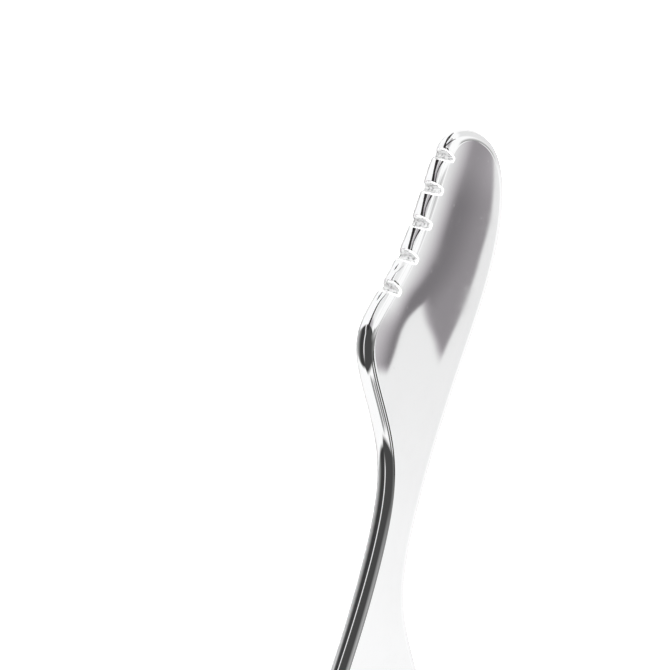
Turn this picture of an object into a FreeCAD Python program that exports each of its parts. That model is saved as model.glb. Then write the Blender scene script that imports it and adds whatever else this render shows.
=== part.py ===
import FreeCAD, Part
import math
import os

# One-piece S-shaped modelling tool of polished cast metal, lying flat on one of its two faces.
# X runs across the blades, Y along the tool towards the notched tip, Z up through the thickness.
# The origin is on the resting plane, under the middle of the tool. Millimetres and degrees.

THICKNESS = 4.2

# The rim is a half round. A hair of straight wall stays between its upper and lower roundings.
RIM_FLAT = 0.04
RIM_RADIUS = (THICKNESS - RIM_FLAT) / 2

# Control points of one half of the rim's outermost line, seen from above. They run from the waist up
# the notched side, round the heel, along the notched edge, over the tip and down the smooth edge.
# The other half is the same line turned by half a turn about the origin.
HALF_OUTLINE = [
    (-4.4, 13.8),
    (-13.2, 27.4),
    (-19.8, 39.3),
    (-10.2, 52.4),
    (-6.6, 70.2),
    (-4.5, 83.2),
    (9.1, 82.5),
    (14.8, 70.4),
    (14.5, 53.7),
    (10.6, 37.0),
    (7.0, 19.7),
    (4.7, 2.5),
]
OUTLINE_DEGREE = 3

# The notches are grooves cut across the rim. They narrow inwards to a short flat root, and the corners
# between the root and the walls are rounded. They lean: they are deepest on the top face, and this much
# shallower on the resting face.
NOTCH_COUNT = 5
NOTCH_PITCH = 7.2
NOTCH_DEPTH = 2.6
NOTCH_HALF_ANGLE = 15.0
NOTCH_ROOT_WIDTH = 0.52
NOTCH_CORNER_RADIUS = 0.25
NOTCH_LEAN = 1.3
# A point of the rim at the notch nearest to the heel.
FIRST_NOTCH = (-13.2, 49.1)

# How far the cutter for a notch reaches past the solid on every side.
CUTTER_MARGIN = 1.5


def outline_curve():
    """The closed line round the middle of the rim, on the resting plane."""
    half = [FreeCAD.Vector(x, y, 0) for x, y in HALF_OUTLINE]
    curve = Part.BSplineCurve()
    curve.buildFromPoles(half + [-point for point in half], True, OUTLINE_DEGREE)
    return curve


def rounded_body(curve):
    """The whole tool without its notches: a plate whose edge is rounded from both faces."""
    plate = Part.Face(Part.Wire(curve.toShape())).extrude(FreeCAD.Vector(0, 0, THICKNESS))
    face_edges = [edge for edge in plate.Edges if edge.BoundBox.ZLength < RIM_FLAT]
    return plate.makeFillet(RIM_RADIUS, face_edges)


def notch_profile():
    """The notch on the top face, with the rim's outermost line on Y and the blade on the +X side."""
    slope = math.radians(NOTCH_HALF_ANGLE)
    half_root = NOTCH_ROOT_WIDTH / 2
    wall_x = NOTCH_DEPTH - NOTCH_CORNER_RADIUS * (1 - math.sin(slope))
    wall_y = half_root + NOTCH_CORNER_RADIUS * math.cos(slope)
    turn = (math.pi / 2 - slope) / 2
    bend_x = NOTCH_DEPTH - NOTCH_CORNER_RADIUS * (1 - math.cos(turn))
    bend_y = half_root + NOTCH_CORNER_RADIUS * math.sin(turn)
    mouth_x = -CUTTER_MARGIN
    mouth_y = wall_y + (wall_x - mouth_x) * math.tan(slope)
    mouth_low, mouth_high = FreeCAD.Vector(mouth_x, -mouth_y, 0), FreeCAD.Vector(mouth_x, mouth_y, 0)
    wall_low, wall_high = FreeCAD.Vector(wall_x, -wall_y, 0), FreeCAD.Vector(wall_x, wall_y, 0)
    bend_low, bend_high = FreeCAD.Vector(bend_x, -bend_y, 0), FreeCAD.Vector(bend_x, bend_y, 0)
    root_low = FreeCAD.Vector(NOTCH_DEPTH, -half_root, 0)
    root_high = FreeCAD.Vector(NOTCH_DEPTH, half_root, 0)
    edges = [
        Part.makeLine(mouth_low, wall_low),
        Part.Arc(wall_low, bend_low, root_low).toShape(),
        Part.makeLine(root_low, root_high),
        Part.Arc(root_high, bend_high, wall_high).toShape(),
        Part.makeLine(wall_high, mouth_high),
        Part.makeLine(mouth_high, mouth_low),
    ]
    return Part.Wire(edges)


def notch_cutter(curve, distance):
    """The solid that cuts the notch whose middle is this far along the rim from the first one."""
    first = curve.parameter(FreeCAD.Vector(FIRST_NOTCH[0], FIRST_NOTCH[1], 0))
    place = curve.parameterAtDistance(distance, first) if distance else first
    tangent = curve.tangent(place)[0]
    # The curve runs clockwise seen from above, so the blade is on the right of its direction.
    inward = tangent.cross(FreeCAD.Vector(0, 0, 1))
    lean = FreeCAD.Vector(NOTCH_LEAN, 0, THICKNESS) / THICKNESS
    cutter = Part.Face(notch_profile()).extrude(lean * (THICKNESS + 2 * CUTTER_MARGIN))
    cutter.translate(FreeCAD.Vector(0, 0, THICKNESS) - lean * (THICKNESS + CUTTER_MARGIN))
    cutter.rotate(FreeCAD.Vector(), FreeCAD.Vector(0, 0, 1), math.degrees(math.atan2(inward.y, inward.x)))
    cutter.translate(curve.value(place))
    return cutter


def tool_body():
    """The finished tool."""
    curve = outline_curve()
    body = rounded_body(curve)
    for number in range(NOTCH_COUNT):
        body = body.cut(notch_cutter(curve, number * NOTCH_PITCH))
    return body.Solids[0]


os.makedirs("parts", exist_ok=True)
body = tool_body()
print("tool_body", "valid", body.isValid(), "volume", round(body.Volume, 1), body.BoundBox)
body.exportStep("parts/tool_body.step")
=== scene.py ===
import math

import bpy
import numpy as np
from mathutils import Matrix, Vector


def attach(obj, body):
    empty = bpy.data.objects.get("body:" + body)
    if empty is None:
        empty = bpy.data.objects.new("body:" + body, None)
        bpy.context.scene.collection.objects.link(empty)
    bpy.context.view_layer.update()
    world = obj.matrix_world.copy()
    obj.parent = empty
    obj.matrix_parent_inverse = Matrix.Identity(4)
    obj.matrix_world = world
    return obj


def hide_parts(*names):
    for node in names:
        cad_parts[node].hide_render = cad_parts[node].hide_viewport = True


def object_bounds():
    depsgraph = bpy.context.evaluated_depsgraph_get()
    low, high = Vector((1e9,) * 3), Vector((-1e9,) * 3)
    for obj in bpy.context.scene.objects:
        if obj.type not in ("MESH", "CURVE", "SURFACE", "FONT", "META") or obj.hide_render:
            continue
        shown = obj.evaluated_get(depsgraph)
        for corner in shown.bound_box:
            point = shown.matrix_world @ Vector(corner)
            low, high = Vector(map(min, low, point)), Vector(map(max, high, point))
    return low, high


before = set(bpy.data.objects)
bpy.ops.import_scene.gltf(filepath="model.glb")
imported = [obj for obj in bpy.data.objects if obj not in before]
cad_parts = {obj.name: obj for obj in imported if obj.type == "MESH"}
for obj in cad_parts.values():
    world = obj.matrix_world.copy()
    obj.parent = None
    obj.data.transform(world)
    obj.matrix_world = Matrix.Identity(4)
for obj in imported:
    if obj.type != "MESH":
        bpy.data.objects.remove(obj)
cad_low, cad_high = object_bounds()

# The tool lies on the floor as in the CAD model: X across the blades, Y towards the notched tip, Z up.
# Shape sizes are in millimetres until the finished mesh is scaled to metres.
MM = 0.001
CENTRE = (cad_low + cad_high) / 2
THICKNESS = (cad_high.z - cad_low.z) / MM
RIM_RADIUS = THICKNESS / 2


def add_object(name, data):
    made = bpy.data.objects.new(name, data)
    bpy.context.scene.collection.objects.link(made)
    return made


# ---------------------------------------------------------------- the tool's outline and its notches

# Control points of half of the rim's outermost line, as in the CAD model. The other half is the same
# line turned by half a turn about the origin.
HALF_OUTLINE = [
    (-4.4, 13.8),
    (-13.2, 27.4),
    (-19.8, 39.3),
    (-10.2, 52.4),
    (-6.6, 70.2),
    (-4.5, 83.2),
    (9.1, 82.5),
    (14.8, 70.4),
    (14.5, 53.7),
    (10.6, 37.0),
    (7.0, 19.7),
    (4.7, 2.5),
]
NOTCH_COUNT = 5
NOTCH_PITCH = 7.2
NOTCH_DEPTH = 2.6
NOTCH_HALF_ANGLE = math.radians(15.0)
NOTCH_ROOT_WIDTH = 0.52
NOTCH_CORNER_RADIUS = 0.25
FIRST_NOTCH = (-13.2, 49.1)
# How much shallower the notches are on the resting face than on the top face.
NOTCH_LEAN = 1.3
# How far the polishing has rolled the notches' lips, at the rim's outermost line and on the faces.
LIP_SOFTNESS_RIM = 0.36
LIP_SOFTNESS_FACE = 0.2
# How far out of the notches their rough cast skin shows, and over what width it ends.
SKIN_REACH = 0.27
SKIN_EDGE = 0.06

# Spacing of the mesh's cross-sections along the rim, and the finer spacing within reach of a notch.
RIM_STEP = 0.45
NOTCH_STEP = 0.055
NOTCH_REACH = 3.0
# Each cross-section fans out from a point this far inside the rim, half way up the thickness.
FAN_DEPTH = 3.6
FLAT_RINGS = 8
ROUND_RINGS = 40
# How finely the spline's length is measured, and how often the search for the surface halves its span.
FINE_SPAN_SAMPLES = 400
HALVINGS = 40


def whole_outline():
    half = np.array(HALF_OUTLINE)
    return np.concatenate([half, -half])


def weighed_poles(poles, span, weights):
    """The sum of the four control points round each span, each times its weight."""
    return sum(w * poles[(span + k) % len(poles)] for k, w in zip((-1, 0, 1, 2), weights))


def spline_points(poles, places):
    """Points of the closed uniform cubic spline with these control points, at places counted in spans."""
    span = np.floor(places).astype(int)
    t = (places - span)[:, None]
    weights = [(1 - t) ** 3, 3 * t ** 3 - 6 * t ** 2 + 4, -3 * t ** 3 + 3 * t ** 2 + 3 * t + 1, t ** 3]
    return weighed_poles(poles, span, weights) / 6


def spline_directions(poles, places):
    """Unit directions of the same spline."""
    span = np.floor(places).astype(int)
    t = (places - span)[:, None]
    weights = [-3 * (1 - t) ** 2, 9 * t ** 2 - 12 * t, -9 * t ** 2 + 6 * t + 3, 3 * t ** 2]
    along = weighed_poles(poles, span, weights)
    return along / np.linalg.norm(along, axis=1)[:, None]


def measured_rim(poles):
    """Places all along the spline, the rim's length up to each, and its length up to the first notch."""
    fine = np.arange(len(poles) * FINE_SPAN_SAMPLES + 1) / FINE_SPAN_SAMPLES
    line = spline_points(poles, fine)
    length = np.concatenate([[0], np.cumsum(np.linalg.norm(np.diff(line, axis=0), axis=1))])
    return fine, length, length[np.argmin(np.linalg.norm(line - np.array(FIRST_NOTCH), axis=1))]


def rim_places(poles):
    """Places of the cross-sections on the spline, and how far each is from the nearest notch."""
    fine, length, first = measured_rim(poles)
    notches = first + NOTCH_PITCH * np.arange(NOTCH_COUNT)
    coarse = np.arange(0, length[-1] - RIM_STEP / 2, RIM_STEP)
    away = np.abs(coarse[:, None] - notches).min(axis=1)
    steps = [coarse[away > NOTCH_REACH]]
    for middle in notches:
        steps.append(middle + np.arange(-NOTCH_REACH, NOTCH_REACH, NOTCH_STEP))
    distances = np.sort(np.concatenate(steps))
    offsets = distances[:, None] - notches
    nearest = offsets[np.arange(len(offsets)), np.abs(offsets).argmin(axis=1)]
    return np.interp(distances, length, fine), nearest


def smooth_max(a, b, softness):
    """The larger of a and b, rounded off where they are within softness of each other."""
    near = np.clip(softness - np.abs(a - b), 0, None) / softness
    return np.maximum(a, b) + near ** 2 * softness / 4


def notch_distance(along, depth, height):
    """How far a point is outside the nearest notch's walls, seen from above. Negative is in the notch."""
    sine, cosine = math.sin(NOTCH_HALF_ANGLE), math.cos(NOTCH_HALF_ANGLE)
    notch_depth = NOTCH_DEPTH - NOTCH_LEAN * (RIM_RADIUS - height) / THICKNESS
    outward = notch_depth - NOTCH_CORNER_RADIUS - depth
    sideways = np.abs(along) - NOTCH_ROOT_WIDTH / 2
    from_wall = sideways * cosine - outward * sine
    from_corner = np.hypot(sideways, outward)
    at_corner = (sideways > 0) & (sideways * sine + outward * cosine < 0)
    return np.where(at_corner, from_corner, np.maximum(from_wall, -outward)) - NOTCH_CORNER_RADIUS


def outside_tool(along, depth, height):
    """How far a point of a cross-section is outside the metal. Height is from mid thickness."""
    rim = np.hypot(np.clip(RIM_RADIUS - depth, 0, None), height) - RIM_RADIUS
    on_face = np.clip(depth / RIM_RADIUS, 0, 1)
    softness = LIP_SOFTNESS_RIM + (LIP_SOFTNESS_FACE - LIP_SOFTNESS_RIM) * on_face
    return smooth_max(rim, -notch_distance(along, depth, height), softness)


def fan_directions():
    """Directions of the fan from the top face, over the rim, to the underside, as (outward, up) pairs."""
    flat = np.arange(FLAT_RINGS) / FLAT_RINGS * (FAN_DEPTH - RIM_RADIUS)
    upper = np.stack([flat, np.full(FLAT_RINGS, RIM_RADIUS)], axis=1)
    turn = np.linspace(math.pi / 2, -math.pi / 2, ROUND_RINGS + 1)
    outward = FAN_DEPTH - RIM_RADIUS + RIM_RADIUS * np.cos(turn)
    rounded = np.stack([outward, RIM_RADIUS * np.sin(turn)], axis=1)
    lower = upper[::-1] * (1, -1)
    points = np.concatenate([upper, rounded, lower])
    return points / np.linalg.norm(points, axis=1)[:, None]


def cross_sections(along):
    """Where each section's fan of directions meets the surface: depth from the rim, and height."""
    fan = fan_directions()
    out, up = fan[:, 0][None, :], fan[:, 1][None, :]
    near = np.zeros((len(along), len(fan)))
    far = np.full_like(near, 2 * FAN_DEPTH)
    for _ in range(HALVINGS):
        middle = (near + far) / 2
        inside = outside_tool(along[:, None], FAN_DEPTH - middle * out, middle * up) < 0
        near = np.where(inside, middle, near)
        far = np.where(inside, far, middle)
    return FAN_DEPTH - near * out, near * up


def tool_mesh():
    """The whole tool as one closed mesh in metres. Its attribute marks the notches' rough skin."""
    poles = whole_outline()
    places, along = rim_places(poles)
    line = spline_points(poles, places)
    forward = spline_directions(poles, places)
    inward = np.stack([forward[:, 1], -forward[:, 0]], axis=1)
    depth, height = cross_sections(along)
    flat = line[:, None, :] + inward[:, None, :] * depth[:, :, None]
    points = np.concatenate([flat, height[:, :, None] + RIM_RADIUS], axis=2)
    outside_notch = notch_distance(along[:, None], depth, height)
    skin = 1 - np.clip((outside_notch - SKIN_REACH) / SKIN_EDGE, 0, 1)
    index = np.arange(depth.size).reshape(depth.shape)
    here, after = index, np.roll(index, -1, axis=0)
    quads = np.stack([here[:, :-1], here[:, 1:], after[:, 1:], after[:, :-1]], axis=2).reshape(-1, 4)
    faces = quads.tolist() + [index[:, 0].tolist(), index[::-1, -1].tolist()]
    place = np.array([CENTRE.x, CENTRE.y, cad_low.z])
    mesh = bpy.data.meshes.new("tool_body_surface")
    mesh.from_pydata((points.reshape(-1, 3) * MM + place).tolist(), [], faces)
    mesh.validate()
    mesh.shade_smooth()
    mark = mesh.attributes.new("notch_skin", "FLOAT", "POINT")
    mark.data.foreach_set("value", skin.ravel().astype(np.float32))
    return mesh


body = add_object("polished_tool_body", tool_mesh())
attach(body, "root")
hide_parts("tool_body")

# ---------------------------------------------------------------- node helpers


class Nodes:
    """Short ways to add nodes to one node tree. Values may be numbers or other nodes' sockets."""

    def __init__(self, tree):
        self.tree = tree

    def put(self, socket, value):
        if hasattr(value, "is_output"):
            self.tree.links.new(value, socket)
        else:
            socket.default_value = value

    def math(self, operation, *values):
        node = self.tree.nodes.new("ShaderNodeMath")
        node.operation = operation
        for socket, value in zip(node.inputs, values):
            self.put(socket, value)
        return node.outputs[0]

    def chain(self, operation, values):
        result = values[0]
        for value in values[1:]:
            result = self.math(operation, result, value)
        return result

    def multiply(self, *values):
        return self.chain("MULTIPLY", values)

    def add(self, *values):
        return self.chain("ADD", values)

    def subtract(self, value, less):
        return self.math("SUBTRACT", value, less)

    def largest(self, *values):
        return self.chain("MAXIMUM", values)

    def rise(self, value, low, high, bottom=0.0, top=1.0):
        """Goes smoothly from bottom to top as the value goes from low to high."""
        node = self.tree.nodes.new("ShaderNodeMapRange")
        node.interpolation_type = "SMOOTHSTEP"
        for name, number in zip(("From Min", "From Max", "To Min", "To Max"), (low, high, bottom, top)):
            node.inputs[name].default_value = number
        self.put(node.inputs["Value"], value)
        return node.outputs["Result"]

    def band(self, value, low, high, soft):
        """1 between low and high, falling to 0 within soft of either end."""
        up = self.rise(value, low - soft, low)
        down = self.rise(value, high, high + soft, 1.0, 0.0)
        return self.multiply(up, down)

    def noise(self, vector, scale, detail, roughness):
        node = self.tree.nodes.new("ShaderNodeTexNoise")
        node.inputs["Scale"].default_value = scale
        node.inputs["Detail"].default_value = detail
        node.inputs["Roughness"].default_value = roughness
        self.put(node.inputs["Vector"], vector)
        return node.outputs["Fac"]

    def patches(self, vector, scale, detail, roughness, low, high):
        """Noise that goes smoothly from 0 to 1 between two of its levels."""
        return self.rise(self.noise(vector, scale, detail, roughness), low, high)

    def mix(self, factor, first, second):
        node = self.tree.nodes.new("ShaderNodeMix")
        node.data_type = "FLOAT"
        self.put(node.inputs[0], factor)
        self.put(node.inputs[2], first)
        self.put(node.inputs[3], second)
        return node.outputs[0]

    def attribute(self, name):
        node = self.tree.nodes.new("ShaderNodeAttribute")
        node.attribute_name = name
        return node.outputs["Fac"]

    def coordinates(self, kind):
        return self.tree.nodes.new("ShaderNodeTexCoord").outputs[kind]

    def split(self, vector):
        node = self.tree.nodes.new("ShaderNodeSeparateXYZ")
        self.put(node.inputs[0], vector)
        return node.outputs

    def colour(self, red, green, blue):
        node = self.tree.nodes.new("ShaderNodeCombineColor")
        for socket, value in zip(node.inputs, (red, green, blue)):
            self.put(socket, value)
        return node.outputs[0]


# ---------------------------------------------------------------- material

# Patterns in the finish: scale, detail and roughness of the noise, and the levels it rises between.
HAIRS = (110.0, 3.0, 0.6, 0.62, 0.78)
HAIR_PATCHES = (45.0, 2.0, 0.5, 0.45, 0.7)
HAZE = (55.0, 5.0, 0.62, 0.42, 0.8)
SPECKS = (1400.0, 1.0, 0.5, 0.72, 0.8)
BETWEEN_PITS = (2100.0, 2.0, 0.5, 0.36, 0.52)
# Noise alone: the grain of the cast skin, and the slow waves that the buffing wheel leaves.
GRAIN = (3600.0, 3.0, 0.65)
WAVES = (85.0, 1.0, 0.5)
# The hairlines' noise changes this much faster across the tool than along it. Its turn only picks
# another part of the noise.
HAIR_SQUEEZE = (40.0, 1.0, 40.0)
HAIR_TURN = math.radians(62.0)
# Roughness of the clean polish, and what haze, hairlines and specks add to it.
POLISH_ROUGHNESS = 0.026
HAZE_ROUGHNESS = 0.035
HAIR_ROUGHNESS = 0.05
SPECK_ROUGHNESS = 0.05
# The share of light that the clean polish reflects, what haze takes off it, and roughly what is left.
POLISH_REFLECTS = 0.905
HAZE_TAKES = 0.025
METAL_REFLECTS = 0.9
METAL_TINT = (0.995, 0.998, 1.0)
# The cast skin in the notches: its range of roughness and of grey, the share of grey left in its pits as
# painted shade, and how metallic it looks.
CAST_ROUGHNESS = (0.42, 0.68)
CAST_GREY = (0.29, 0.46)
PAINTED_PIT_SHADE = 0.45
CAST_METALLIC = 0.45
# Heights of the surface in metres.
WAVE_HEIGHT = 3.0e-6
HAIR_HEIGHT = -1.2e-7
GRAIN_HEIGHT = 3.0e-5
PIT_HEIGHT = 2.5e-5
BUMP_DISTANCE = 0.001


def hairlines(n, place):
    """Hairlines that the buffing wheel leaves along the tool, in patches."""
    squeeze = n.tree.nodes.new("ShaderNodeMapping")
    squeeze.inputs["Scale"].default_value = HAIR_SQUEEZE
    squeeze.inputs["Rotation"].default_value = (0.0, 0.0, HAIR_TURN)
    n.put(squeeze.inputs["Vector"], place)
    return n.multiply(n.patches(squeeze.outputs[0], *HAIRS), n.patches(place, *HAIR_PATCHES))


def polished_metal():
    """Mirror-polished bright metal with faint handling haze, and rough cast skin in the notches."""
    material = bpy.data.materials.new("polished_metal")
    material.use_nodes = True
    tree = material.node_tree
    shader = tree.nodes["Principled BSDF"]
    n = Nodes(tree)
    place = n.coordinates("Object")
    skin = n.attribute("notch_skin")
    hairs = hairlines(n, place)
    haze = n.patches(place, *HAZE)
    specks = n.patches(place, *SPECKS)
    grain = n.noise(place, *GRAIN)
    between_pits = n.patches(place, *BETWEEN_PITS)

    hazy = n.add(POLISH_ROUGHNESS, n.multiply(haze, HAZE_ROUGHNESS))
    marks = n.add(n.multiply(hairs, HAIR_ROUGHNESS), n.multiply(specks, SPECK_ROUGHNESS))
    roughness = n.mix(skin, n.add(hazy, marks), n.mix(grain, *CAST_ROUGHNESS))
    n.put(shader.inputs["Roughness"], roughness)
    n.put(shader.inputs["Metallic"], n.mix(skin, 1.0, CAST_METALLIC))

    bright = n.subtract(POLISH_REFLECTS, n.multiply(haze, HAZE_TAKES))
    # Painted shade: the skin's grey drops where its bumps dip into pits.
    cast = n.multiply(n.mix(grain, *CAST_GREY), n.mix(between_pits, PAINTED_PIT_SHADE, 1.0))
    value = n.mix(skin, bright, cast)
    n.put(shader.inputs["Base Color"], n.colour(*[n.multiply(value, tint) for tint in METAL_TINT]))

    waves = n.multiply(n.noise(place, *WAVES), WAVE_HEIGHT)
    smooth = n.add(waves, n.multiply(hairs, HAIR_HEIGHT))
    rough = n.add(n.multiply(grain, GRAIN_HEIGHT), n.multiply(between_pits, PIT_HEIGHT))
    height = n.add(smooth, n.multiply(skin, rough))
    bump = tree.nodes.new("ShaderNodeBump")
    bump.inputs["Distance"].default_value = BUMP_DISTANCE
    n.put(bump.inputs["Height"], n.multiply(height, 1 / BUMP_DISTANCE))
    n.put(shader.inputs["Normal"], bump.outputs[0])
    return material


body.data.materials.append(polished_metal())

# ---------------------------------------------------------------- floor

FLOOR_SIZE = 6.0
FLOOR_WHITE = (0.9, 0.9, 0.9, 1.0)
FLOOR_ROUGHNESS = 0.8


def plane(name, corners):
    mesh = bpy.data.meshes.new(name)
    mesh.from_pydata(corners, [], [range(len(corners))])
    card = add_object(name, mesh)
    return card


def floor():
    """A plain white floor. The metal doesn't mirror it."""
    half = FLOOR_SIZE / 2
    z = cad_low.z
    sheet = plane("floor", [(-half, -half, z), (half, -half, z), (half, half, z), (-half, half, z)])
    material = bpy.data.materials.new("floor_paint")
    material.use_nodes = True
    shader = material.node_tree.nodes["Principled BSDF"]
    shader.inputs["Base Color"].default_value = FLOOR_WHITE
    shader.inputs["Roughness"].default_value = FLOOR_ROUGHNESS
    sheet.data.materials.append(material)
    sheet.visible_glossy = False


floor()

# ---------------------------------------------------------------- the studio all round

# The brightest and the darkest light in the studio.
WHITE = 1.08
BLACK = 0.02
QUARTER_TURN = 90.0
# The studio is described by direction, in degrees. "Height" is above the horizon, and "side" goes round
# from 0 at the tool's left, through 90 at the handle's end, with -90 beyond the tip.
# The directions also lie on a round map, with straight up in the middle, the horizon on the unit
# circle, the left at (1, 0) and the handle's end at (0, 1). The camera sees FACE_PLACE in the flat
# face. "Ring" is how far a direction is from that place on the map, and "ray" which way, in degrees.
FACE_PLACE = (-0.467, 0.0)
HORIZON_SOFT = 2.0

# The dark side at the tool's left is an oval: its middle, and how far it reaches by ray and by height.
# Its edge fades between these values of a measure that is 0 in the middle and 1 at either reach.
DARK_SIDE_RAY = 7.0
DARK_SIDE_HEIGHT = 14.0
DARK_SIDE_RAY_REACH = 25.0
DARK_SIDE_HEIGHT_REACH = 135.0
DARK_SIDE_EDGE = (0.82, 1.02)
# How dark it is above and below the horizon: at ring 0, the gain for each unit of ring, and at most.
DARK_ABOVE = (0.15, 1.15, 0.955)
DARK_BELOW = (0.27, 0.72, 0.975)
# Towards the handle it is darker by this much at ring 0. The extra sets in over these rays and fades
# with the ring.
EXTRA_DARK = 0.55
EXTRA_DARK_RAYS = (-3.0, 9.0)
EXTRA_DARK_FADE = 1.2

# The bright slit low across the dark side. Beyond SLIT_LEVEL_TO, towards the tip, it slopes down.
SLIT_HEIGHT = 5.0
SLIT_LEVEL_TO = -5.0
SLIT_SLOPE = 1.3
SLIT_SIDES = (-80.0, 25.0)
SLIT_SIDE_SOFT = 16.0
SLIT_HALF_WIDTH = 3.5
SLIT_SOFT = 2.5
SLIT_STRENGTH = 0.95

# Thin dark edges overhead: from ring, to ring, first ray, darkness.
OVERHEAD_EDGES = [
    (0.15, 0.28, 19.0, 0.97),
    (0.4, 0.52, 22.0, 0.9),
    (0.6, 0.73, 32.0, 0.72),
    (0.82, 0.98, 32.0, 0.7),
]
OVERHEAD_LAST_RAY = 60.0
OVERHEAD_RAY_SOFT = 3.0
OVERHEAD_RING_SOFT = 0.035

# A shade overhead beyond the tip, darkest near ring 0.
TIP_SHADE = 0.66
TIP_SHADE_RAYS = (-140.0, -60.0)
TIP_SHADE_RAY_SOFT = 25.0
TIP_SHADE_RINGS = (0.04, 0.34)

# Grey screens low at the right, beyond the tip and beyond the handle: from side, to side, how soft the
# ends are, from height, to height, how soft the top and bottom are, darkness.
GREY_SCREENS = [
    (-165.0, -105.0, 15.0, -10.0, 30.0, 10.0, 0.22),
    (100.0, 145.0, 12.0, 4.0, 30.0, 12.0, 0.5),
]


def map_of_directions(n):
    """The height, side, ring and ray of each direction."""
    x, y, z = n.split(n.coordinates("Generated"))
    height = n.math("DEGREES", n.math("ARCSINE", z))
    turn = n.math("ARCTAN2", n.multiply(y, -1.0), n.multiply(x, -1.0))
    out = n.math("DIVIDE", n.subtract(QUARTER_TURN, n.math("ABSOLUTE", height)), QUARTER_TURN)
    p = n.subtract(n.multiply(out, n.math("COSINE", turn)), FACE_PLACE[0])
    q = n.subtract(n.multiply(out, n.math("SINE", turn)), FACE_PLACE[1])
    ring = n.math("SQRT", n.add(n.multiply(p, p), n.multiply(q, q)))
    ray = n.math("DEGREES", n.math("ARCTAN2", q, p))
    return height, n.math("DEGREES", turn), ring, ray


def darkening(n, ring, start, gain, most, *extra):
    return n.math("MINIMUM", n.add(n.multiply(ring, gain), start, *extra), most)


def dark_side(n, height, ring, ray, above):
    """The dark side, rounded at its ends and lighter near ring 0."""
    across = n.multiply(n.subtract(ray, DARK_SIDE_RAY), 1 / DARK_SIDE_RAY_REACH)
    from_middle = n.math("ABSOLUTE", n.subtract(height, DARK_SIDE_HEIGHT))
    up = n.multiply(from_middle, 1 / DARK_SIDE_HEIGHT_REACH)
    oval = n.rise(n.add(n.multiply(across, across), up), *DARK_SIDE_EDGE, 1.0, 0.0)
    fading = n.subtract(1.0, n.multiply(ring, EXTRA_DARK_FADE))
    extra = n.multiply(n.rise(ray, *EXTRA_DARK_RAYS, 0.0, EXTRA_DARK), fading)
    overhead = darkening(n, ring, *DARK_ABOVE, n.largest(extra, 0.0))
    under = darkening(n, ring, *DARK_BELOW)
    return n.multiply(oval, n.mix(above, under, overhead))


def bright_slit(n, height, side):
    drop = n.multiply(n.math("MINIMUM", n.add(side, -SLIT_LEVEL_TO), 0.0), SLIT_SLOPE)
    from_slit = n.subtract(height, n.add(SLIT_HEIGHT, drop))
    length = n.band(side, *SLIT_SIDES, SLIT_SIDE_SOFT)
    width = n.band(from_slit, -SLIT_HALF_WIDTH, SLIT_HALF_WIDTH, SLIT_SOFT)
    return n.multiply(length, width, SLIT_STRENGTH)


def overhead_edges(n, ring, ray, above):
    """Thin dark edges overhead, seen in the rim below the heel."""
    edges = []
    for from_ring, to_ring, first_ray, darkness in OVERHEAD_EDGES:
        length = n.band(ray, first_ray, OVERHEAD_LAST_RAY, OVERHEAD_RAY_SOFT)
        width = n.band(ring, from_ring, to_ring, OVERHEAD_RING_SOFT)
        edges.append(n.multiply(length, width, above, darkness))
    return edges


def tip_shade(n, ring, ray, above):
    across = n.band(ray, *TIP_SHADE_RAYS, TIP_SHADE_RAY_SOFT)
    return n.multiply(across, n.rise(ring, *TIP_SHADE_RINGS, TIP_SHADE, 0.0), above)


def grey_screens(n, height, side):
    screens = []
    for from_side, to_side, side_soft, low, high, height_soft, darkness in GREY_SCREENS:
        width = n.band(side, from_side, to_side, side_soft)
        screens.append(n.multiply(width, n.band(height, low, high, height_soft), darkness))
    return screens


def studio():
    """The studio all round the tool: white, with a dark side at its left and grey screens at its right."""
    world = bpy.data.worlds.new("studio")
    bpy.context.scene.world = world
    world.use_nodes = True
    n = Nodes(world.node_tree)
    height, side, ring, ray = map_of_directions(n)
    above = n.rise(height, -HORIZON_SOFT, HORIZON_SOFT)
    outside_slit = n.subtract(1.0, bright_slit(n, height, side))
    left = n.multiply(dark_side(n, height, ring, ray, above), outside_slit)
    edges = overhead_edges(n, ring, ray, above)
    dark = n.largest(left, *edges, tip_shade(n, ring, ray, above), *grey_screens(n, height, side))
    light = n.mix(dark, WHITE, BLACK)
    n.put(world.node_tree.nodes["Background"].inputs["Color"], n.colour(light, light, light))


studio()

# ---------------------------------------------------------------- light and camera

# A wide soft light straight above lights the floor. The metal doesn't mirror it.
SOFT_LIGHT_SIZE = 3.0
SOFT_LIGHT_HEIGHT = 2.0
SOFT_LIGHT_POWER = 550.0


def soft_light():
    data = bpy.data.lights.new("soft_light", "AREA")
    data.shape = "SQUARE"
    data.size = SOFT_LIGHT_SIZE
    data.energy = SOFT_LIGHT_POWER
    lamp = add_object("soft_light", data)
    lamp.location = (0, 0, SOFT_LIGHT_HEIGHT)
    lamp.visible_glossy = False


soft_light()

# The camera looks down on the notched edge. These are the directions from the tool to the camera and
# of the picture's upright, and how far the picture's middle is from the tool's middle in the picture.
TO_CAMERA = Vector((-0.668, 0.0345, 0.743)).normalized()
PICTURE_UP = Vector((-0.104, 0.985, -0.139))
PICTURE_WIDTH = 0.134
PICTURE_MIDDLE = (-0.01126, 0.0398)
LENS = 300.0
SENSOR = 36.0
FARTHEST_SEEN = 20.0


def camera():
    """Makes the camera and returns its place."""
    right = PICTURE_UP.cross(TO_CAMERA).normalized()
    up = TO_CAMERA.cross(right)
    middle = CENTRE + right * PICTURE_MIDDLE[0] + up * PICTURE_MIDDLE[1]
    place = middle + TO_CAMERA * (PICTURE_WIDTH * LENS / SENSOR)
    data = bpy.data.cameras.new("camera")
    data.lens = LENS
    data.sensor_width = SENSOR
    data.clip_end = FARTHEST_SEEN
    eye = add_object("camera", data)
    turn = Matrix((right, up, TO_CAMERA)).transposed().to_4x4()
    eye.matrix_world = Matrix.Translation(place) @ turn
    bpy.context.scene.camera = eye
    return place


eye_place = camera()

# ---------------------------------------------------------------- the painted reflection in the top face: a screen that it mirrors

SCREEN_DISTANCE = 0.25
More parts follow.
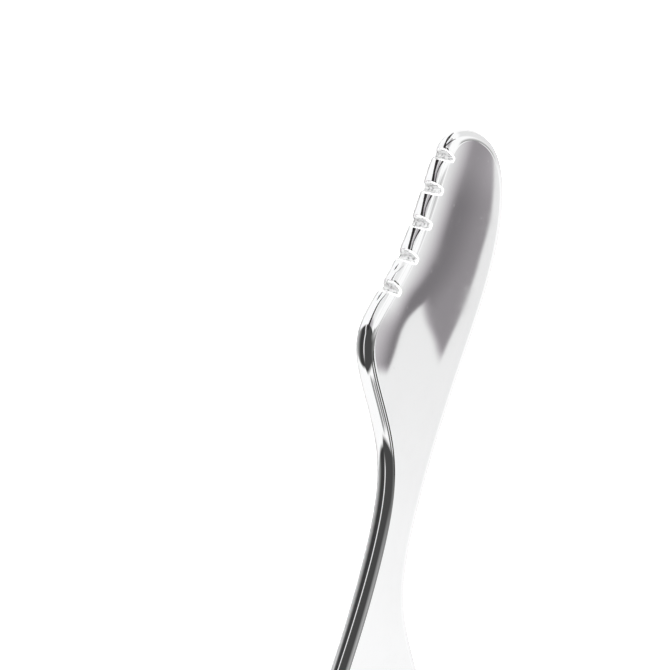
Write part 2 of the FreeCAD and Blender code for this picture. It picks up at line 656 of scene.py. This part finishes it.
# Places on the screen are given by where the camera sees them in the face, in millimetres, so that it
# paints the reflection the camera sees there.
SCREEN_STEP = 0.35
SCREEN_X = (-27.0, 21.0)
SCREEN_Y = (-92.0, 90.0)
SCREEN_EDGE = 5.0
# Edges of the screen's dark shape as places (Y, X): where its left side starts to fade in and where it
# is dark, its right edge, and the left and right edges of the pale gap in its lower end.
FADE_START = [(35, -19), (40, -17), (44, -14.2), (53, -10.3), (60, -8), (66, -6.6), (75, -6.0), (81, -4.8)]
FADE_END = [
    (33, -10.7), (38, -10.4), (42, -9.3), (47, -7.6), (52, -3.8), (57, -1.7), (62, -1), (71, 0.6),
    (75, 1.5), (79, 2),
]
RIGHT_EDGE = [
    (35, 3), (40, 4.5), (45, 6.3), (50, 7.6), (56, 8.9), (62, 9.8), (66, 10.2), (72, 9.4), (76, 8.6),
    (80, 7.2), (83, 5),
]
GAP_LEFT = [(32, -10.5), (36, -9.5), (39, -9.1), (42, -8.4), (44.2, -7), (46.5, -4.3), (48, -2.5)]
GAP_RIGHT = [(33, 4), (36, 2.4), (38, 1.6), (40, 0.3), (42, -1.7), (44.4, -3.2), (46.5, -4.3), (48, -4.3)]
CORNER_SHIFTS = (-1.5, -0.5, 0.5, 1.5)
# How far to either side of its line each edge is soft.
RIGHT_SOFT = (-0.25, 0.25)
GAP_LEFT_SOFT = (-0.25, 0.35)
GAP_RIGHT_SOFT = (-1.2, 2.2)
GAP_TOP = 48
# The stretch of Y over which the dark shape ends towards the handle. Right of the left prong, which
# these two X bound, it ends over another stretch.
SHAPE_END = (31, 34)
LEFT_PRONG_BOUND = (-8, -4)
RIGHT_PRONG_END = (33.5, 38.5)
# Greys as the eye sees them, from 0 black to 255 white. Round the dark shape the screen is this pale at
# this Y, and this much paler for each millimetre towards the handle, within this range.
GREYS = 255
PALE = 235
PALE_AT = 34
PALE_GAIN = 0.25
PALE_RANGE = (232, 249)
# Left of the fade, beyond this Y, the screen is this pale.
LEFT_OF_FADE = 250
LEFT_OF_FADE_FROM = 44
# Greys that change along Y, where the fade starts and where it ends: from Y, to Y, and the greys there.
FADE_START_GREY = (40, 47, 203, 248)
FADE_END_GREY = (66, 77, 118, 144)
# The same for how much lighter it is again past the fade's end, by the distance from there.
LIGHTER_PAST_FADE = (1, 9, 0, 23)
# The same for the share of the fade that is even. The rest of it goes with the cube of the distance.
EVEN_SHARE = (41, 48, 0.2, 0.5)
# The eye's greys to the power of this are the light's.
EYE_POWER = 2.2


def edge_line(points, y):
    """X of an edge at each y, with the corners between its points smoothed."""
    ys, xs = zip(*points)
    return sum(np.interp(y + shift, ys, xs) for shift in CORNER_SHIFTS) / len(CORNER_SHIFTS)


def ease(value, low, high):
    t = np.clip((value - low) / (high - low), 0, 1)
    return t * t * (3 - 2 * t)


def graded(value, low, high, first, last):
    return first + (last - first) * ease(value, low, high)


def eased_edge(x, line, soft):
    return ease(x, line + soft[0], line + soft[1])


def dark_shade(x, y):
    """The painted reflection's greys inside the dark shape: fading in from the left, then slightly lighter
    again.
    """
    start, end = edge_line(FADE_START, y), edge_line(FADE_END, y)
    beside, darkest = graded(y, *FADE_START_GREY), graded(y, *FADE_END_GREY)
    even = graded(y, *EVEN_SHARE)
    fade = np.clip((x - start) / (end - start), 0, 1)
    fading = beside + (darkest - beside) * (even * fade + (1 - even) * fade ** 3)
    shade = np.where(x < end, fading, darkest + graded(x - end, *LIGHTER_PAST_FADE))
    left_of_fade = (x < start) & (y > LEFT_OF_FADE_FROM)
    return np.maximum(shade, np.where(left_of_fade, LEFT_OF_FADE, 0))


def dark_cover(x, y):
    """1 inside the dark shape and 0 outside it."""
    in_gap = eased_edge(x, edge_line(GAP_LEFT, y), GAP_LEFT_SOFT)
    in_gap = in_gap * (1 - eased_edge(x, edge_line(GAP_RIGHT, y), GAP_RIGHT_SOFT))
    in_gap = np.where(y < GAP_TOP, in_gap, 0)
    cover = (1 - eased_edge(x, edge_line(RIGHT_EDGE, y), RIGHT_SOFT)) * (1 - in_gap)
    cover = cover * ease(y, *SHAPE_END)
    return cover * (1 - (1 - ease(y, *RIGHT_PRONG_END)) * ease(x, *LEFT_PRONG_BOUND))


def painted_reflection_grey(x, y):
    """The painted reflection: how light the screen looks in the face at x, y, from 0 black to 1 white as
    the eye sees it.
    """
    pale = np.clip(PALE + (PALE_AT - y) * PALE_GAIN, *PALE_RANGE)
    return (pale + (dark_shade(x, y) - pale) * dark_cover(x, y)) / GREYS


def screen_points(x, y):
    """Where the camera's rays to the places x, y of the face go on to, when the face mirrors them."""
    face = np.stack([x * MM + CENTRE.x, y * MM + CENTRE.y, np.full_like(x, cad_high.z)], axis=-1)
    ray = face - np.array(eye_place)
    ray = ray / np.linalg.norm(ray, axis=-1, keepdims=True) * (1, 1, -1)
    middle = ray[len(x) // 2, len(x[0]) // 2]
    along = (face - np.array((CENTRE.x, CENTRE.y, cad_high.z))) @ middle
    reach = (SCREEN_DISTANCE - along) / (ray @ middle)
    return face + ray * reach[..., None]


def point_values(mesh, name, values):
    made = mesh.attributes.new(name, "FLOAT", "POINT")
    made.data.foreach_set("value", values.ravel().astype(np.float32))


def screen_mesh():
    xs = np.arange(*SCREEN_X, SCREEN_STEP)
    ys = np.arange(*SCREEN_Y, SCREEN_STEP)
    x, y = np.meshgrid(xs, ys)
    index = np.arange(x.size).reshape(x.shape)
    corners = [index[:-1, :-1], index[:-1, 1:], index[1:, 1:], index[1:, :-1]]
    quads = np.stack(corners, axis=-1).reshape(-1, 4)
    mesh = bpy.data.meshes.new("screen")
    mesh.from_pydata(screen_points(x, y).reshape(-1, 3).tolist(), [], quads.tolist())
    point_values(mesh, "light", painted_reflection_grey(x, y) ** EYE_POWER)
    inset = np.minimum(np.minimum(x - xs[0], xs[-1] - x), np.minimum(y - ys[0], ys[-1] - y))
    point_values(mesh, "cover", ease(inset, 0, SCREEN_EDGE))
    return mesh


def stage_only_for_metal(sheet):
    """Stages a sheet that only the metal mirrors: it lights and shades nothing else, and its glow is a
    painted reflection.
    """
    sheet.visible_camera = False
    sheet.visible_diffuse = False
    sheet.visible_shadow = False


# How much less green the sheets' dark parts are than their light parts, a mauve in the painted
# reflections, and the light over which this tint goes.
DARK_TINT = 0.06
TINT_GOES = (0.3, 0.9)


def glowing_sheet(name, light, cover):
    """A material that glows with light, faintly mauve where it is dark, and is clear where cover is 0; on
    the mirrored-only sheets its glow is a painted reflection.
    """
    material = bpy.data.materials.new(name)
    material.use_nodes = True
    tree = material.node_tree
    tree.nodes.clear()
    n = Nodes(tree)
    glow = tree.nodes.new("ShaderNodeEmission")
    blend = tree.nodes.new("ShaderNodeMixShader")
    output = tree.nodes.new("ShaderNodeOutputMaterial")
    strength = light(n)
    n.put(glow.inputs["Strength"], strength)
    green = n.rise(strength, *TINT_GOES, 1.0 - DARK_TINT, 1.0)
    n.put(glow.inputs["Color"], n.colour(1.0, green, 1.0))
    n.put(blend.inputs[0], cover(n))
    n.put(blend.inputs[1], tree.nodes.new("ShaderNodeBsdfTransparent").outputs[0])
    n.put(blend.inputs[2], glow.outputs[0])
    n.put(output.inputs[0], blend.outputs[0])
    return material


def screen():
    """The glowing screen above the blade that only the top face mirrors, a painted reflection. It clears
    towards its edges.
    """
    sheet = add_object("screen", screen_mesh())
    stage_only_for_metal(sheet)
    # The glow is divided by what the metal reflects, so the face shows the painted reflection's greys
    # exactly.
    sheet.data.materials.append(glowing_sheet(
        "painted_reflection_screen",
        lambda n: n.multiply(n.attribute("light"), 1 / METAL_REFLECTS),
        lambda n: n.attribute("cover"),
    ))


screen()

# ---------------------------------------------------------------- the wall round the floor


def backdrop():
    """A plain white wall round the floor. Only the camera sees it."""
    half = FLOOR_SIZE / 2
    corners = [(-half, -half), (half, -half), (half, half), (-half, half)]
    mesh = bpy.data.meshes.new("backdrop")
    points = [(x, y, cad_low.z + z) for z in (0, half) for x, y in corners]
    mesh.from_pydata(points, [], [(i, (i + 1) % 4, 4 + (i + 1) % 4, 4 + i) for i in range(4)])
    wall = add_object("backdrop", mesh)
    wall.visible_glossy = False
    wall.visible_diffuse = False
    wall.visible_shadow = False
    mesh.materials.append(glowing_sheet("backdrop_cloth", lambda n: 1.0, lambda n: 1.0))


backdrop()

# ---------------------------------------------------------------- the card at the left, beyond the tip: a painted reflection

SIDE_CARD_X = -0.3
SIDE_CARD_Y = (0.145, 0.9)
SIDE_CARD_Z = (-0.9, 3.0)
# The near end is this soft, and the card fades out from this height to its top.
SIDE_CARD_SOFT = 0.02
SIDE_CARD_FADE = 1.2
# The grey band along the card: the heights over which it comes and goes, the stretches of Y over which
# it pales and darkens again, the share of it left between these, and how dark it is elsewhere.
BAND_COMES = (0.0, 0.12)
BAND_GOES = (0.15, 0.7)
BAND_PALES = (0.19, 0.25)
BAND_DARKENS = (0.33, 0.42)
BAND_PALE_SHARE = 0.3
BAND_DARKNESS = 0.55


def band_light(n):
    _, y, z = n.split(n.coordinates("Object"))
    upright = n.multiply(n.rise(z, *BAND_COMES), n.rise(z, *BAND_GOES, 1.0, 0.0))
    along = n.largest(n.rise(y, *BAND_PALES, 1.0, BAND_PALE_SHARE), n.rise(y, *BAND_DARKENS))
    return n.mix(n.multiply(upright, along, BAND_DARKNESS), WHITE, BLACK)


def side_card_cover(n):
    _, y, z = n.split(n.coordinates("Object"))
    near_end = SIDE_CARD_Y[0]
    top = n.rise(z, SIDE_CARD_FADE, SIDE_CARD_Z[1], 1.0, 0.0)
    return n.multiply(n.rise(y, near_end, near_end + SIDE_CARD_SOFT), top)


def side_card():
    """A glowing white card with a soft grey band, a painted reflection. The metal between the notches
    mirrors it.
    """
    (y0, y1), (z0, z1) = SIDE_CARD_Y, SIDE_CARD_Z
    x = SIDE_CARD_X
    mesh = bpy.data.meshes.new("side_card")
    mesh.from_pydata([(x, y0, z0), (x, y1, z0), (x, y1, z1), (x, y0, z1)], [], [(0, 1, 2, 3)])
    card = add_object("side_card", mesh)
    stage_only_for_metal(card)
    card.data.materials.append(glowing_sheet("painted_reflection_card", band_light, side_card_cover))


side_card()

# ---------------------------------------------------------------- painted dark reflections: strips mirrored between the notches

# How far the strips hang from the rim, how many pieces each is made of, and how light they are.
STRIP_DISTANCE = 0.016
STRIP_PIECES = 16
STRIP_LIGHT = 0.03
# The strips, by where the camera sees them in the rim: lists of (distance along the rim from the first
# notch, distance from the silhouette, width), in millimetres. The first is seen above every notch, and
# the next two between the notches, on the upper lands. The lands are counted from the lowest, 0.
STRIP_ABOVE_NOTCH = [(1.2, 3.1, 0.2), (1.3, 2.7, 0.6), (1.45, 2.15, 0.6), (1.8, 1.75, 0.45)]
UPPER_LANDS = (1, 2, 3)
STRIPS_BETWEEN_NOTCHES = [
    [(0.9, 1.8, 0.9), (2.0, 1.44, 0.5), (3.6, 1.2, 0.42), (5.0, 1.07, 0.5), (6.3, 0.98, 0.65)],
    [(0.9, 2.4, 0.5), (2.0, 1.98, 0.2), (3.6, 1.76, 0.14), (5.0, 1.87, 0.22), (6.3, 2.12, 0.35)],
]
LOWER_STRIPS = [
    [(0.9, 1.35, 0.4), (2.0, 1.08, 0.18), (3.6, 1.12, 0.1), (5.0, 1.6, 0.1), (5.8, 1.95, 0.05)],
    [(4.1, 0.62, 0.05), (4.8, 0.68, 0.22), (5.8, 0.85, 0.05)],
    [(-10.0, 1.5, 0.45), (-7.5, 1.4, 0.25), (-5.0, 1.25, 0.2), (-3.4, 1.25, 0.16), (-1.4, 1.6, 0.06)],
    [(-3.6, 0.65, 0.05), (-2.6, 0.65, 0.22), (-1.4, 0.75, 0.08)],
]
TIP_STRIPS = [
    [(29.8, 1.5, 0.8), (30.8, 1.1, 0.45), (31.6, 0.9, 0.28), (32.8, 0.72, 0.42), (34.4, 0.45, 0.08)],
    [(30.6, 1.2, 0.15), (31.8, 1.45, 0.3), (33.4, 1.8, 0.08)],
]


def mirrored_place(along, from_silhouette):
    """Where the camera's ray to a place on the rim goes on to, when the rim mirrors it."""
    poles = whole_outline()
    fine, length, first = measured_rim(poles)
    place = np.array([np.interp(first + along, length, fine)])
    x, y = spline_points(poles, place)[0]
    forward = spline_directions(poles, place)[0]
    outward = Vector((-forward[1], forward[0], 0))
    silhouette = math.atan2(-outward.dot(TO_CAMERA), TO_CAMERA.z)
    turn = silhouette + math.acos(1 - from_silhouette / RIM_RADIUS)
    normal = outward * math.cos(turn) + Vector((0, 0, math.sin(turn)))
    point = Vector((x, y, 0)) * MM + CENTRE + (normal - outward) * RIM_RADIUS * MM
    return point + (normal * 2 * normal.dot(TO_CAMERA) - TO_CAMERA) * STRIP_DISTANCE


def strip(stations):
    """The corners and faces of one strip."""
    along, across, width = np.array(sorted(stations)).T
    places = np.linspace(along[0], along[-1], STRIP_PIECES + 1)
    corners = []
    for place in places:
        middle, half = np.interp(place, along, across), np.interp(place, along, width) / 2
        corners += [mirrored_place(place, middle - half), mirrored_place(place, middle + half)]
    return corners, [(2 * i, 2 * i + 1, 2 * i + 3, 2 * i + 2) for i in range(STRIP_PIECES)]


def moved_up(stations, notches):
    """The same strip, this many notches nearer to the tip."""
    return [(along + NOTCH_PITCH * notches, across, width) for along, across, width in stations]


# The strips paint dark reflections into the rim, placed where the camera sees them in it.
def painted_dark_reflection_strips():
    above = [moved_up(STRIP_ABOVE_NOTCH, number) for number in range(NOTCH_COUNT)]
    between = [moved_up(stations, land) for land in UPPER_LANDS for stations in STRIPS_BETWEEN_NOTCHES]
    corners, faces = [], []
    for stations in above + between + LOWER_STRIPS + TIP_STRIPS:
        more, quads = strip(stations)
        faces += [[corner + len(corners) for corner in quad] for quad in quads]
        corners += more
    mesh = bpy.data.meshes.new("painted_dark_reflection_strips")
    mesh.from_pydata(corners, [], faces)
    strips = add_object("painted_dark_reflection_strips", mesh)
    stage_only_for_metal(strips)
    mesh.materials.append(glowing_sheet("painted_dark_reflection_cloth", lambda n: STRIP_LIGHT, lambda n: 1.0))


painted_dark_reflection_strips()

bpy.context.scene.view_settings.view_transform = "Standard"
